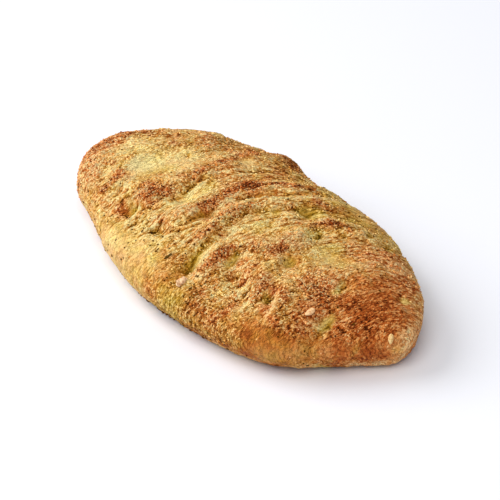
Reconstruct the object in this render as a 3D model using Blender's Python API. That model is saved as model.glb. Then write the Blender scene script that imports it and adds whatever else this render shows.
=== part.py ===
"""A focaccia loaf: a long oval of dough with slanting folds and finger dimples pressed into its crust.

The crust is one smooth dome whose cross-section bulges over a flat underside. Folds stand up from
it along crest lines, and furrows and dimples sink into it. Two seeds and a nub of dough sit on top.
Lengths in the tables are millimetres, X runs along the loaf and Y across it, and the loaf rests on Z = 0.
"""

import bmesh
import bpy
import numpy as np
from mathutils import Matrix, Vector

MM = 0.001

# The plain dome
HALF_LENGTH = 151.2
HALF_WIDTH = 82.0
CROWN_HEIGHT = 48.5
BULGE_HEIGHT = 22.0
FOOT_INSET = 11.3
FOOTPRINT_POWER = 1.66
CROWN_POWER_ALONG = 2.40
CROWN_POWER_ACROSS = 2.92
SHOULDER_POWER = 2.37
CENTRE = (9.8, -4.9)

# Unevenness of the footprint: waves round the loaf, with a cosine and a sine share of the radius
FOOTPRINT_WAVES = {
    1: (0.078, -0.029),
    2: (-0.014, -0.030),
    3: (-0.008, 0.025),
    4: (-0.033, 0.026),
    5: (-0.005, -0.001),
    6: (0.012, 0.008),
}

# The same for how far the foot is drawn in under the bulge, in millimetres
FOOT_WAVES = {
    1: (2.2, -6.0),
    2: (-1.2, -1.3),
}

# Broad swells and hollows of the dough: height and place, all with the same reach
SWELL_REACH = (28.0, 20.0)
SWELLS = [
    (2.9, (-110, -30)),
    (-3.8, (-70, -58)),
    (-3.2, (-30, -66)),
    (-2.4, (20, -70)),
    (-5.5, (60, -62)),
    (0.9, (105, -45)),
    (-1.1, (130, -20)),
    (-2.3, (140, 20)),
    (-1.4, (110, 45)),
    (0.8, (75, 58)),
    (-2.9, (10, 68)),
    (-0.8, (-25, 66)),
    (-2.8, (-60, 55)),
    (0.8, (-95, 40)),
    (-1.5, (-120, 10)),
]

# Folds that stand up: height, half-width and the crest line from the near side to the far one
FOLDS = {
    "left_end": (2.6, 8.0, [(-82, -52), (-105, -36), (-118, -11), (-110, 16), (-88, 34), (-50, 62)]),
    "first": (2.6, 7.0, [(-72, -60), (-80, -33), (-85, -9), (-83, 9), (-77, 24), (-71, 44), (-64, 62)]),
    "first_low": (1.6, 5.0, [(-70, 2), (-65, 20), (-60, 38), (-53, 56), (-46, 72)]),
    "second": (3.8, 10.0, [(-52, -60), (-47, -36), (-41, -6), (-37, 14), (-33, 36), (-24, 57), (-14, 74)]),
    "second_low": (1.4, 5.0, [(-28, 10), (-22, 28), (-13, 45), (-2, 60), (8, 74)]),
    "third": (4.4, 7.5, [(-19, -56), (-11, -33), (-5, 1), (-1, 15), (8, 28), (18, 42), (32, 57), (46, 70)]),
    "fourth": (3.8, 5.5, [(20, -54), (14, -32), (9, -13), (14, 4), (23, 19), (33, 33), (44, 50), (58, 66)]),
    "fourth_low": (1.2, 4.0, [(28, -11), (34, 4), (41, 19)]),
    "fifth": (4.6, 7.5, [(37, -80), (33, -47), (42, -30), (53, -15), (56, 5), (59, 25), (73, 36), (92, 47)]),
    "sixth": (2.4, 5.0, [(76, -74), (77, -54), (72, -42), (66, -30), (62, -14)]),
    "sixth_low": (2.0, 5.0, [(104, -62), (93, -44), (82, -26)]),
    "right_end": (2.4, 9.0, [(76, -26), (92, -8), (102, 4), (108, 24), (107, 52)]),
}

# Furrows pressed in: depth, half-width and the line
FURROWS = {
    "beside_fifth": (3.2, 5.5, [(22, -16), (23, -40), (25, -58), (29, -84)]),
    "near_right": (3.4, 6.0, [(117, -20), (121, -33), (127, -56)]),
    "near_left": (1.6, 5.0, [(-68, -38), (-65, -55), (-60, -76)]),
}

# Finger dimples: depth, then the reach along and across, and the place
DIMPLES = [
    (4.0, 6.0, 6.0, (-47, -50)),
    (2.0, 3.5, 3.5, (-68, -40)),
    (2.0, 4.0, 5.0, (-89, -37)),
    (4.2, 6.5, 10.0, (-26, -19)),
    (4.6, 5.0, 9.0, (0, -17)),
    (3.0, 5.0, 6.0, (-13, -52)),
    (4.6, 6.0, 6.5, (26, -60)),
    (4.0, 4.5, 8.0, (44, -39)),
    (4.6, 5.0, 5.0, (53, -49)),
    (3.6, 4.0, 5.0, (62, -48)),
    (3.0, 5.0, 5.5, (71, -15)),
    (2.8, 5.0, 6.0, (63, 14)),
    (3.4, 7.0, 5.0, (40, 27)),
    (2.2, 4.0, 7.0, (107, -3)),
    (2.6, 4.5, 6.0, (119, -31)),
    (1.8, 4.5, 4.5, (134, 22)),
    (2.6, 4.5, 6.0, (77, -60)),
    (2.8, 4.0, 5.5, (85, -46)),
    (1.6, 6.0, 5.0, (-28, 35)),
    (2.0, 6.0, 6.0, (62, 52)),
    (1.6, 4.5, 7.0, (110, 32)),
    (2.6, 15.0, 17.0, (-72, -7)),
    (1.8, 9.0, 16.0, (22, -23)),
    (2.4, 15.0, 13.0, (82, 12)),
]

# Things that lie on the crust: length, width, thickness, place, and the way the blunt end points
TOPPINGS = {
    "seed_near": (7.4, 3.8, 2.6, (108.3, -33.4), (0.05, 1.0, 0.15)),
    "seed_end": (6.6, 3.6, 2.6, (150.0, -5.0), (-0.3, 0.4, 0.9)),
    "dough_nub": (7.2, 5.4, 4.6, (30.5, -71.8), (-0.35, 0.9, 0.35)),
}
TOPPING_LIFT = 0.3
TOPPING_GIRTH = 0.9
TOPPING_TAPER = 0.35

# How the mesh is divided
CELLS_ALONG = 74
CELLS_ACROSS = 44
WALL_ROWS = 8
CAP_SHARE = 0.86
PROFILE_STEPS = 160
NORMAL_STEP = 0.01
SMALLEST = 1e-9
CREST_STEPS = 10
FOLD_TAPER = 0.16
TOPPING_SIDES = 8
TOPPING_RINGS = 5


def smooth_step(value):
    """Ease from 0 to 1."""
    value = np.clip(value, 0.0, 1.0)
    return value * value * (3.0 - 2.0 * value)


def rim(angle):
    """The widest outline of the loaf, an uneven superellipse, at each angle."""
    across, along = np.abs(np.sin(angle)), np.abs(np.cos(angle))
    reach = (along**FOOTPRINT_POWER + across**FOOTPRINT_POWER) ** (-1.0 / FOOTPRINT_POWER)
    reach = reach * (1.0 + waves(angle, FOOTPRINT_WAVES))
    return HALF_LENGTH * reach * np.cos(angle), HALF_WIDTH * reach * np.sin(angle)


def waves(angle, table):
    """A sum of waves round the loaf."""
    return sum(
        cosine * np.cos(order * angle) + sine * np.sin(order * angle)
        for order, (cosine, sine) in table.items()
    )


def dome(angle, share):
    """The plain crust, at a share of the way from the crown (0) over the bulge to the foot (1)."""
    rim_x, rim_y = rim(angle)
    along = np.cos(angle) ** 2
    power = CROWN_POWER_ALONG * along + CROWN_POWER_ACROSS * (1.0 - along)
    over = np.sin(np.linspace(0.0, np.pi / 2.0, PROFILE_STEPS))
    under = np.linspace(0.0, 1.0, PROFILE_STEPS // 4)[1:]
    cap = (1.0 - over[None, :] ** power[:, None]) ** (1.0 / SHOULDER_POWER)
    cap_z = BULGE_HEIGHT + (CROWN_HEIGHT - BULGE_HEIGHT) * cap
    wall_z = np.repeat(BULGE_HEIGHT * (1.0 - under[None, :]), len(angle), axis=0)
    inset = (FOOT_INSET + waves(angle, FOOT_WAVES))[:, None] * under[None, :] ** 2
    x = np.hstack([rim_x[:, None] * over, rim_x[:, None] - inset * np.cos(angle)[:, None]])
    y = np.hstack([rim_y[:, None] * over, rim_y[:, None] - inset * np.sin(angle)[:, None]])
    profile = np.stack([x, y, np.hstack([cap_z, wall_z])], axis=2)
    lengths = np.linalg.norm(np.diff(profile, axis=1), axis=2).cumsum(axis=1)
    lengths = np.hstack([np.zeros((len(angle), 1)), lengths])
    wanted = share * lengths[:, -1]
    step = np.minimum((lengths < wanted[:, None]).sum(axis=1), lengths.shape[1] - 1)
    step = np.maximum(step, 1)
    row = np.arange(len(angle))
    before, after = lengths[row, step - 1], lengths[row, step]
    mix = ((wanted - before) / (after - before))[:, None]
    return profile[row, step - 1] * (1.0 - mix) + profile[row, step] * mix


def dome_normal(angle, share):
    """The direction straight out of the plain crust."""
    round_it = dome(angle + NORMAL_STEP, share) - dome(angle - NORMAL_STEP, share)
    inner = np.clip(share - NORMAL_STEP, 0.0, 1.0)
    outer = np.clip(share + NORMAL_STEP, 0.0, 1.0)
    normal = np.cross(dome(angle, outer) - dome(angle, inner), round_it)
    length = np.linalg.norm(normal, axis=1, keepdims=True)
    return np.where(length > 0.0, normal / np.maximum(length, SMALLEST), (0.0, 0.0, 1.0))


def crest_line(points):
    """A smooth curve through the points."""
    given = np.array(points, dtype=float)
    padded = np.vstack([2.0 * given[0] - given[1], given, 2.0 * given[-1] - given[-2]])
    t = np.linspace(0.0, 1.0, CREST_STEPS, endpoint=False)[:, None]
    spans = []
    for before, start, stop, after in zip(padded, padded[1:], padded[2:], padded[3:]):
        bend = 2.0 * before - 5.0 * start + 4.0 * stop - after
        twist = 3.0 * start - before - 3.0 * stop + after
        spans.append(start + 0.5 * ((stop - before) * t + bend * t**2 + twist * t**3))
    spans.append(given[-1:])
    return np.vstack(spans)


def along_line(places, height, half_width, points):
    """A rounded ridge along a line, easing away at both ends."""
    line = crest_line(points)
    gaps = np.linalg.norm(places[:, None, :] - line[None, :, :], axis=2)
    passed = gaps.argmin(axis=1) / (len(line) - 1)
    ease = smooth_step(np.minimum(passed, 1.0 - passed) / FOLD_TAPER)
    return height * ease * np.exp(-((gaps.min(axis=1) / half_width) ** 2))


def bump(places, height, reach, centre):
    """A rounded bump at a place."""
    return height * np.exp(-(((places - centre) / reach) ** 2).sum(axis=1))


def relief(places):
    """How far the crust stands proud of the plain dome at each place in plan."""
    height = np.zeros(len(places))
    for fold in FOLDS.values():
        height += along_line(places, *fold)
    for furrow in FURROWS.values():
        height -= along_line(places, *furrow)
    for depth, reach_x, reach_y, place in DIMPLES:
        height -= bump(places, depth, (reach_x, reach_y), place)
    for swell, place in SWELLS:
        height += bump(places, swell, SWELL_REACH, place)
    return height


def oval_grid():
    """A flat grid whose edge is drawn down row by row and closed: rows are counted in -Z."""
    mesh = bmesh.new()
    bmesh.ops.create_grid(mesh, x_segments=CELLS_ALONG, y_segments=CELLS_ACROSS, size=1.0)
    edge = [e for e in mesh.edges if e.is_boundary]
    for _ in range(WALL_ROWS):
        drawn = bmesh.ops.extrude_edge_only(mesh, edges=edge)["geom"]
        bmesh.ops.translate(
            mesh,
            verts=[item for item in drawn if isinstance(item, bmesh.types.BMVert)],
            vec=Vector((0.0, 0.0, -1.0)),
        )
        edge = [item for item in drawn if isinstance(item, bmesh.types.BMEdge) and item.is_boundary]
    bmesh.ops.edgeloop_fill(mesh, edges=edge)
    bmesh.ops.recalc_face_normals(mesh, faces=mesh.faces)
    return mesh


def shape_crust(mesh):
    """Bring the grid onto the dome, with the folds raised and the dimples pressed straight into it."""
    grid = np.array([v.co for v in mesh.verts])
    disc_x = grid[:, 0] * np.sqrt(1.0 - grid[:, 1] ** 2 / 2.0)
    disc_y = grid[:, 1] * np.sqrt(1.0 - grid[:, 0] ** 2 / 2.0)
    angle = np.arctan2(disc_y, disc_x)
    share = CAP_SHARE * np.hypot(disc_x, disc_y) - (1.0 - CAP_SHARE) * grid[:, 2] / WALL_ROWS
    share = np.clip(share, 0.0, 1.0)
    places = dome(angle, share)
    height = relief(places[:, :2]) * smooth_step(places[:, 2] / BULGE_HEIGHT)
    places += dome_normal(angle, share) * height[:, None]
    for vert, place in zip(mesh.verts, places):
        vert.co = (place - np.array([*CENTRE, 0.0])) * MM


def make_material(name, colour, roughness):
    material = bpy.data.materials.new(name)
    material.use_nodes = True
    shader = material.node_tree.nodes["Principled BSDF"]
    shader.inputs["Base Color"].default_value = (*colour, 1.0)
    shader.inputs["Roughness"].default_value = roughness
    shader.inputs["Metallic"].default_value = 0.0
    return material


def make_object(name, mesh, collection, material):
    data = bpy.data.meshes.new(name)
    mesh.to_mesh(data)
    mesh.free()
    data.materials.append(material)
    data.shade_smooth()
    thing = bpy.data.objects.new(name, data)
    collection.objects.link(thing)
    return thing


def make_topping(name, length, width, thickness, place, pointing, crust, collection, material):
    """An egg-shaped piece that lies along the crust, partly sunk in it."""
    x, y = (np.array(place) - np.array(CENTRE)) * MM
    _, spot, normal, _ = crust.ray_cast(Vector((x, y, 1.0)), Vector((0.0, 0.0, -1.0)))
    mesh = bmesh.new()
    bmesh.ops.create_uvsphere(mesh, u_segments=TOPPING_SIDES, v_segments=TOPPING_RINGS, radius=0.5)
    for vert in mesh.verts:
        along, across, up = vert.co.z, vert.co.y, vert.co.x
        girth = TOPPING_GIRTH + TOPPING_TAPER * along
        vert.co = Vector((along * length, across * width * girth, up * thickness * girth)) * MM
    bmesh.ops.recalc_face_normals(mesh, faces=mesh.faces)
    thing = make_object(name, mesh, collection, material)
    way = Vector(pointing)
    lying = (way - normal * way.dot(normal)).normalized()
    turned = Matrix((lying, normal.cross(lying), normal)).transposed()
    lifted = spot + normal * thickness * TOPPING_LIFT * MM
    thing.matrix_world = Matrix.Translation(lifted) @ turned.to_4x4()


def main():
    for thing in list(bpy.data.objects):
        bpy.data.objects.remove(thing, do_unlink=True)
    loaf_collection = bpy.data.collections.new("focaccia_loaf")
    topping_collection = bpy.data.collections.new("toppings")
    bpy.context.scene.collection.children.link(loaf_collection)
    bpy.context.scene.collection.children.link(topping_collection)

    crust_material = make_material("golden_crust", (0.47, 0.22, 0.07), 0.7)
    seed_material = make_material("pale_seed", (0.78, 0.58, 0.36), 0.5)

    mesh = oval_grid()
    shape_crust(mesh)
    loaf = make_object("focaccia", mesh, loaf_collection, crust_material)
    bpy.context.view_layer.update()
    for name, sizes in TOPPINGS.items():
        make_topping(name, *sizes, loaf, topping_collection, seed_material)
    bpy.context.view_layer.update()

    union = loaf.modifiers.new("toppings", "BOOLEAN")
    union.operation = "UNION"
    union.operand_type = "COLLECTION"
    union.collection = topping_collection
    union.solver = "EXACT"
    evaluated = loaf.evaluated_get(bpy.context.evaluated_depsgraph_get())
    joined = bpy.data.meshes.new_from_object(evaluated)
    loaf.modifiers.clear()
    loaf.data = joined
    joined.shade_smooth()
    for thing in list(topping_collection.objects):
        bpy.data.objects.remove(thing, do_unlink=True)


if __name__ == "__main__":
    main()
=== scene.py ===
import math
from functools import partial

import bmesh
import bpy
import numpy as np
from mathutils import Matrix, Vector, noise
from mathutils.bvhtree import BVHTree


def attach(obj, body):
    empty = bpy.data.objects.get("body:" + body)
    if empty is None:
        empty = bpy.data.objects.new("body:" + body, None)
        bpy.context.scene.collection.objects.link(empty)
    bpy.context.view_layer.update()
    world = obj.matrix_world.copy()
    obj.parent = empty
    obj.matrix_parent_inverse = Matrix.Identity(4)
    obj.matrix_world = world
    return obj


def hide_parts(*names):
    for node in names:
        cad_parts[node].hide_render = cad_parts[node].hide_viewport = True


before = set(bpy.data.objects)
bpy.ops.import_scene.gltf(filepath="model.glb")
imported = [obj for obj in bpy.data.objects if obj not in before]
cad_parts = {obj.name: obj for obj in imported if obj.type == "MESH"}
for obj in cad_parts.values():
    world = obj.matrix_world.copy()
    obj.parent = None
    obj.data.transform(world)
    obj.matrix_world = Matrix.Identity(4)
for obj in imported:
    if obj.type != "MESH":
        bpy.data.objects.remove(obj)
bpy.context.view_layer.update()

# Lengths in the dictionaries are millimetres, measured from the middle of the plain dome,
# X along the loaf towards its darker end and Y across it. That middle lies beside the origin of
# the part's own frame, by domeMiddle.
mm = 0.001
domeMiddle = (9.8, -4.9)

crust = {
    "halfLength": 151.2,
    "halfWidth": 82.0,
    "crownHeight": 48.5,
    "bulgeHeight": 22.0,
    "footInset": 11.3,
    "outlinePower": 1.66,
    "crownPowerAlong": 2.40,
    "crownPowerAcross": 2.92,
    "shoulderPower": 2.37,
    # a cosine and a sine for each number of waves round the loaf: shares of the radius for the
    # outline, millimetres for the foot
    "outlineWaves": {
        1: (0.078, -0.029),
        2: (-0.014, -0.030),
        3: (-0.008, 0.025),
        4: (-0.033, 0.026),
        5: (-0.005, -0.001),
        6: (0.012, 0.008),
    },
    "footWaves": {1: (2.2, -6.0), 2: (-1.2, -1.3)},
    "cellsAlong": 340,
    "cellsAcross": 194,
    "wallRows": 24,
    "undersideRows": 5,
    "undersideInset": 0.95,
    "capShare": 0.86,
    "bandMargin": 5.0,
    "foldTaper": 0.16,
    "foldSharpness": 3.2,
    "reliefGain": 1.15,
}

# broad swells and hollows of the dough: height and place
swellReach = (28.0, 20.0)
swells = [
    (2.9, -110, -30), (-3.8, -70, -58), (-3.2, -30, -66), (-2.4, 20, -70), (-5.5, 60, -62),
    (0.9, 105, -45), (-1.1, 130, -20), (-2.3, 140, 20), (-1.4, 110, 45), (0.8, 75, 58), (-2.9, 10, 68),
    (-0.8, -25, 66), (-2.8, -60, 55), (0.8, -95, 40), (-1.5, -120, 10),
]

# smaller ones that step the far edge: height, reaches and place
edgeSwells = [
    (-2.6, 13, 11, -86, 35), (-2.2, 12, 10, -64, 51), (2.3, 11, 10, -18, 67), (-1.6, 9, 9, 4, 69),
    (-2.8, 12, 10, 37, 61), (1.6, 12, 12, -114, 6),
]

# folds that stand up: height, half-width and the crest line
folds = {
    "leftEnd": (2.6, 8, (-82, -52), (-105, -36), (-118, -11), (-110, 16), (-88, 34), (-50, 62)),
    "first": (2.6, 7, (-72, -60), (-80, -33), (-85, -9), (-83, 9), (-77, 24), (-71, 44), (-64, 62)),
    "firstLow": (1.6, 5, (-70, 2), (-65, 20), (-60, 38), (-53, 56), (-46, 72)),
    "second": (3.8, 10, (-52, -60), (-47, -36), (-41, -6), (-37, 14), (-33, 36), (-24, 57), (-14, 74)),
    "secondLow": (1.4, 5, (-28, 10), (-22, 28), (-13, 45), (-2, 60), (8, 74)),
    "third": (4.4, 7.5, (-19, -56), (-11, -33), (-5, 1), (-1, 15), (8, 28), (18, 42), (32, 57), (46, 70)),
    "fourth": (3.8, 5.5, (20, -54), (14, -32), (9, -13), (14, 4), (23, 19), (33, 33), (44, 50), (58, 66)),
    "fourthLow": (1.2, 4, (28, -11), (34, 4), (41, 19)),
    "fifth": (4.6, 7.5, (37, -80), (33, -47), (42, -30), (53, -15), (56, 5), (59, 25), (73, 36), (92, 47)),
    "sixth": (2.4, 5, (76, -74), (77, -54), (72, -42), (66, -30), (62, -14)),
    "sixthLow": (2, 5, (104, -62), (93, -44), (82, -26)),
    "rightEnd": (2.4, 9, (76, -26), (92, -8), (102, 4), (108, 24), (107, 52)),
}

# furrows pressed in: depth, half-width and the line
furrows = {
    "besideFifth": (3.2, 5.5, (22, -16), (23, -40), (25, -58), (29, -84)),
    "nearRight": (3.4, 6, (117, -20), (121, -33), (127, -56)),
    "nearLeft": (1.6, 5, (-68, -38), (-65, -55), (-60, -76)),
    "backFirst": (1.8, 3.2, (-66, 36), (-58, 52), (-50, 68)),
    "backSecond": (2, 3.4, (-42, 40), (-34, 59), (-26, 74)),
    "backRight": (1.8, 4, (92, 42), (95, 55), (98, 68)),
}

# finger dimples: depth, the reach along and across, and the place
dimples = [
    (4, 6, 6, -47, -50), (2, 3.5, 3.5, -68, -40), (2, 4, 5, -89, -37), (4.2, 6.5, 10, -26, -19),
    (4.6, 5, 9, 0, -17), (3, 5, 6, -13, -52), (4.6, 6, 6.5, 26, -60), (4, 4.5, 8, 44, -39),
    (4.6, 5, 5, 53, -49), (3.6, 4, 5, 62, -48), (3, 5, 5.5, 71, -15), (2.8, 5, 6, 63, 14),
    (3.4, 7, 5, 40, 27), (2.2, 4, 7, 107, -3), (2.6, 4.5, 6, 119, -31), (1.8, 4.5, 4.5, 134, 22),
    (2.6, 4.5, 6, 77, -60), (2.8, 4, 5.5, 85, -46), (1.6, 6, 5, -28, 35), (2, 6, 6, 62, 52),
    (1.6, 4.5, 7, 110, 32), (2.6, 15, 17, -72, -7), (1.8, 9, 16, 22, -23), (2.4, 15, 13, 82, 12),
]

# pockets where the dough folded over itself, with a steep wall on the side towards +X:
# depth, reach on the gentle side, on the steep side and along the pocket, turn in degrees, place
pockets = [
    (2.6, 8, 2, 4.6, 10, -43, -51), (1.8, 6, 1.8, 9, -12, 24, -58), (1.2, 4, 2, 4, 0, -25, -19),
    (1.8, 3, 1.2, 2, 40, -14, -5), (1.7, 4, 1.4, 3, -12, 54, -47), (0.9, 2.4, 1.3, 4, -15, 63, -49),
    (1, 2.6, 1.4, 6, 8, 45, -38), (1.4, 2, 1.2, 2, 0, 62, -27), (1.3, 4, 1.8, 4, -15, 73, -17),
    (1.4, 3, 1.4, 3.6, -15, 75, -56), (1.6, 3, 1.6, 3.4, -10, 87, -47),
    (1.1, 1.8, 1.1, 3.6, -20, 92, -35), (1.2, 2, 1.2, 2.2, 30, 97, -47),
    (1.2, 2.4, 1.3, 6, 14, 108, -6), (1, 3, 1.6, 3.4, 20, 41, 28), (1.4, 1.8, 1.2, 1.8, 0, 63, 15),
    (1.6, 2.4, 1.2, 4, -30, 32, 8), (2, 4, 1.2, 4.4, -10, -13, -54), (1.8, 2, 1.2, 2.4, 0, -18, -47),
    (2, 2.6, 1.3, 5.5, 0, -34, -57), (2.4, 3, 1.8, 3, 0, -88, -39), (1.4, 2.6, 1.4, 2.2, 0, -67, -39),
    (1.4, 3, 1.6, 3, 0, -56, -46), (1.6, 4, 1.6, 2.4, 30, -85, 13), (1.4, 3, 1.4, 2.4, 30, -62, 13),
    (1.6, 3, 1.5, 2.4, 0, 82, 42), (1.2, 2.6, 2, 5, 10, 121, -31),
]

# creases pressed into the dough: depth, half-width and the line
creaseLines = [
    (1.2, 1.5, (-30, -34), (-30, -22), (-30, -10), (-31, 4)),
    (1.8, 1.7, (-4, -40), (-2, -30), (-2, -20), (-4, -11)),
    (1.2, 1.3, (1, -1), (5, 7), (9, 16), (14, 24), (22, 34)),
    (1, 1.3, (20, -46), (18, -32), (16, -18), (17, -6), (21, 4)),
    (1.4, 1.4, (21, -34), (21, -46), (22, -54), (24, -62), (28, -70)),
    (1, 1.4, (25, 8), (32, 18), (38, 27), (46, 37)),
    (1.4, 1.4, (43, -48), (43, -38), (46, -32), (53, -26)),
    (0.9, 1.3, (63, 8), (63, 16), (68, 25), (78, 29)),
    (1.2, 1.2, (69, -62), (71, -54), (70, -46)),
    (1, 1.2, (57, -58), (57, -50), (55, -43)),
    (0.9, 1.2, (83, -58), (82, -50), (80, -44)),
    (1, 1.1, (-36, -49), (-35, -56), (-37, -63)),
    (0.9, 1.1, (-30, -47), (-30, -55), (-31, -61)),
    (1, 1.1, (-24, -49), (-25, -57), (-26, -63)),
    (1, 1.1, (-18, -45), (-17, -52), (-18, -60)),
    (1, 1.1, (-8, -41), (-8, -50), (-9, -60)),
    (0.9, 1, (-1, -43), (0, -52), (0, -62)),
    (0.9, 1, (6, -38), (6, -48), (7, -58)),
    (1, 1, (13, -46), (13, -55), (14, -66)),
    (0.9, 1.2, (-88, -14), (-84, -24), (-80, -31)),
    (1, 1.2, (-72, -30), (-70, -38), (-68, -48)),
    (0.9, 1.2, (-113, 14), (-111, 2), (-109, -8)),
    (0.8, 1.1, (-46, 24), (-40, 36), (-32, 46)),
    (0.9, 1.2, (-27, 4), (-22, 18), (-16, 32), (-8, 44)),
    (0.8, 1.1, (-60, 18), (-56, 30), (-50, 42)),
    (1, 1.3, (126, -28), (133, -26), (140, -23)),
]

# crests that the oven browned: amount, half-width and the line
brownedBands = [
    (0.17, 4, (-112, -32), (-115, -20), (-116, -6), (-112, 7), (-104, 16), (-94, 24), (-84, 30)),
    (0.13, 3, (-87, -4), (-84, 8), (-76, 17), (-66, 26), (-57, 38), (-51, 50)),
    (0.22, 3.2, (-83, -51), (-77, -44), (-76, -36), (-79, -27), (-86, -16), (-88, -6)),
    (0.2, 3.6, (-45, -41), (-38, -30), (-35, -20), (-35, -8), (-36, 6), (-34, 20), (-33, 33), (-27, 46)),
    (0.3, 3, (-6, -31), (-5, -20), (-5, -8), (-4, 2), (-2, 14), (4, 23)),
    (0.27, 2.4, (3, 22), (8, 28), (14, 35), (24, 43), (32, 48)),
    (0.27, 2.5, (14, -50), (15, -42), (14, -32), (12, -20), (13, -9), (16, 0), (20, 10)),
    (0.23, 2.2, (27, 19), (32, 25), (37, 32), (43, 40), (50, 47)),
    (0.31, 3, (34, -64), (36, -53), (38, -43), (42, -34), (48, -28)),
    (0.25, 2.8, (44, -31), (50, -26), (56, -21), (60, -14), (60, -7)),
    (0.2, 2.8, (57, 8), (58, 18), (61, 26), (68, 31), (80, 34)),
    (0.16, 2.6, (80, -60), (79, -51), (75, -43), (70, -38)),
    (0.16, 2.6, (100, -50), (95, -42), (88, -36)),
    (0.1, 3, (-62, 52), (-68, 42), (-72, 32)),
    (0.2, 2.2, (-40, 52), (-34, 47), (-27, 44)),
]

# painted light: how much paler the foot of the crust is made where light bounced off the table falls on it:
# amount, reaches, place, and the turn if it has one
footBounceLight = [
    (-0.48, 18, 21, 146, -15), (-0.28, 18, 10, 123, -51, 35), (-0.08, 24, 8, 90, -72, 22),
]

# strips left pale inside the folds: amount, half-width and the line
paleBands = [
    (-0.36, 2.1, (26, -66), (25, -57), (27, -50), (28, -41), (26, -31), (21, -20), (18, -12)),
    (-0.32, 1.6, (-4, -24), (-2, -14), (-1, -8), (3, 0)),
    (-0.26, 2, (-29, -36), (-27, -24), (-27, -10), (-27, 2)),
    (-0.3, 2, (43, -47), (43, -40), (45, -34), (51, -29)),
    (-0.24, 2, (56, -58), (56, -50)),
    (-0.28, 2.2, (78, -66), (77, -59), (80, -52)),
    (-0.22, 2, (66, -56), (66, -48), (64, -43)),
    (-0.24, 2.2, (92, -58), (91, -50), (88, -43)),
    (-0.2, 1.8, (-38, -64), (-38, -56), (-39, -50)),
    (-0.2, 1.6, (-28, -62), (-27, -54), (-27, -46)),
    (-0.18, 1.6, (-4, -60), (-4, -50), (-5, -42)),
]

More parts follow.
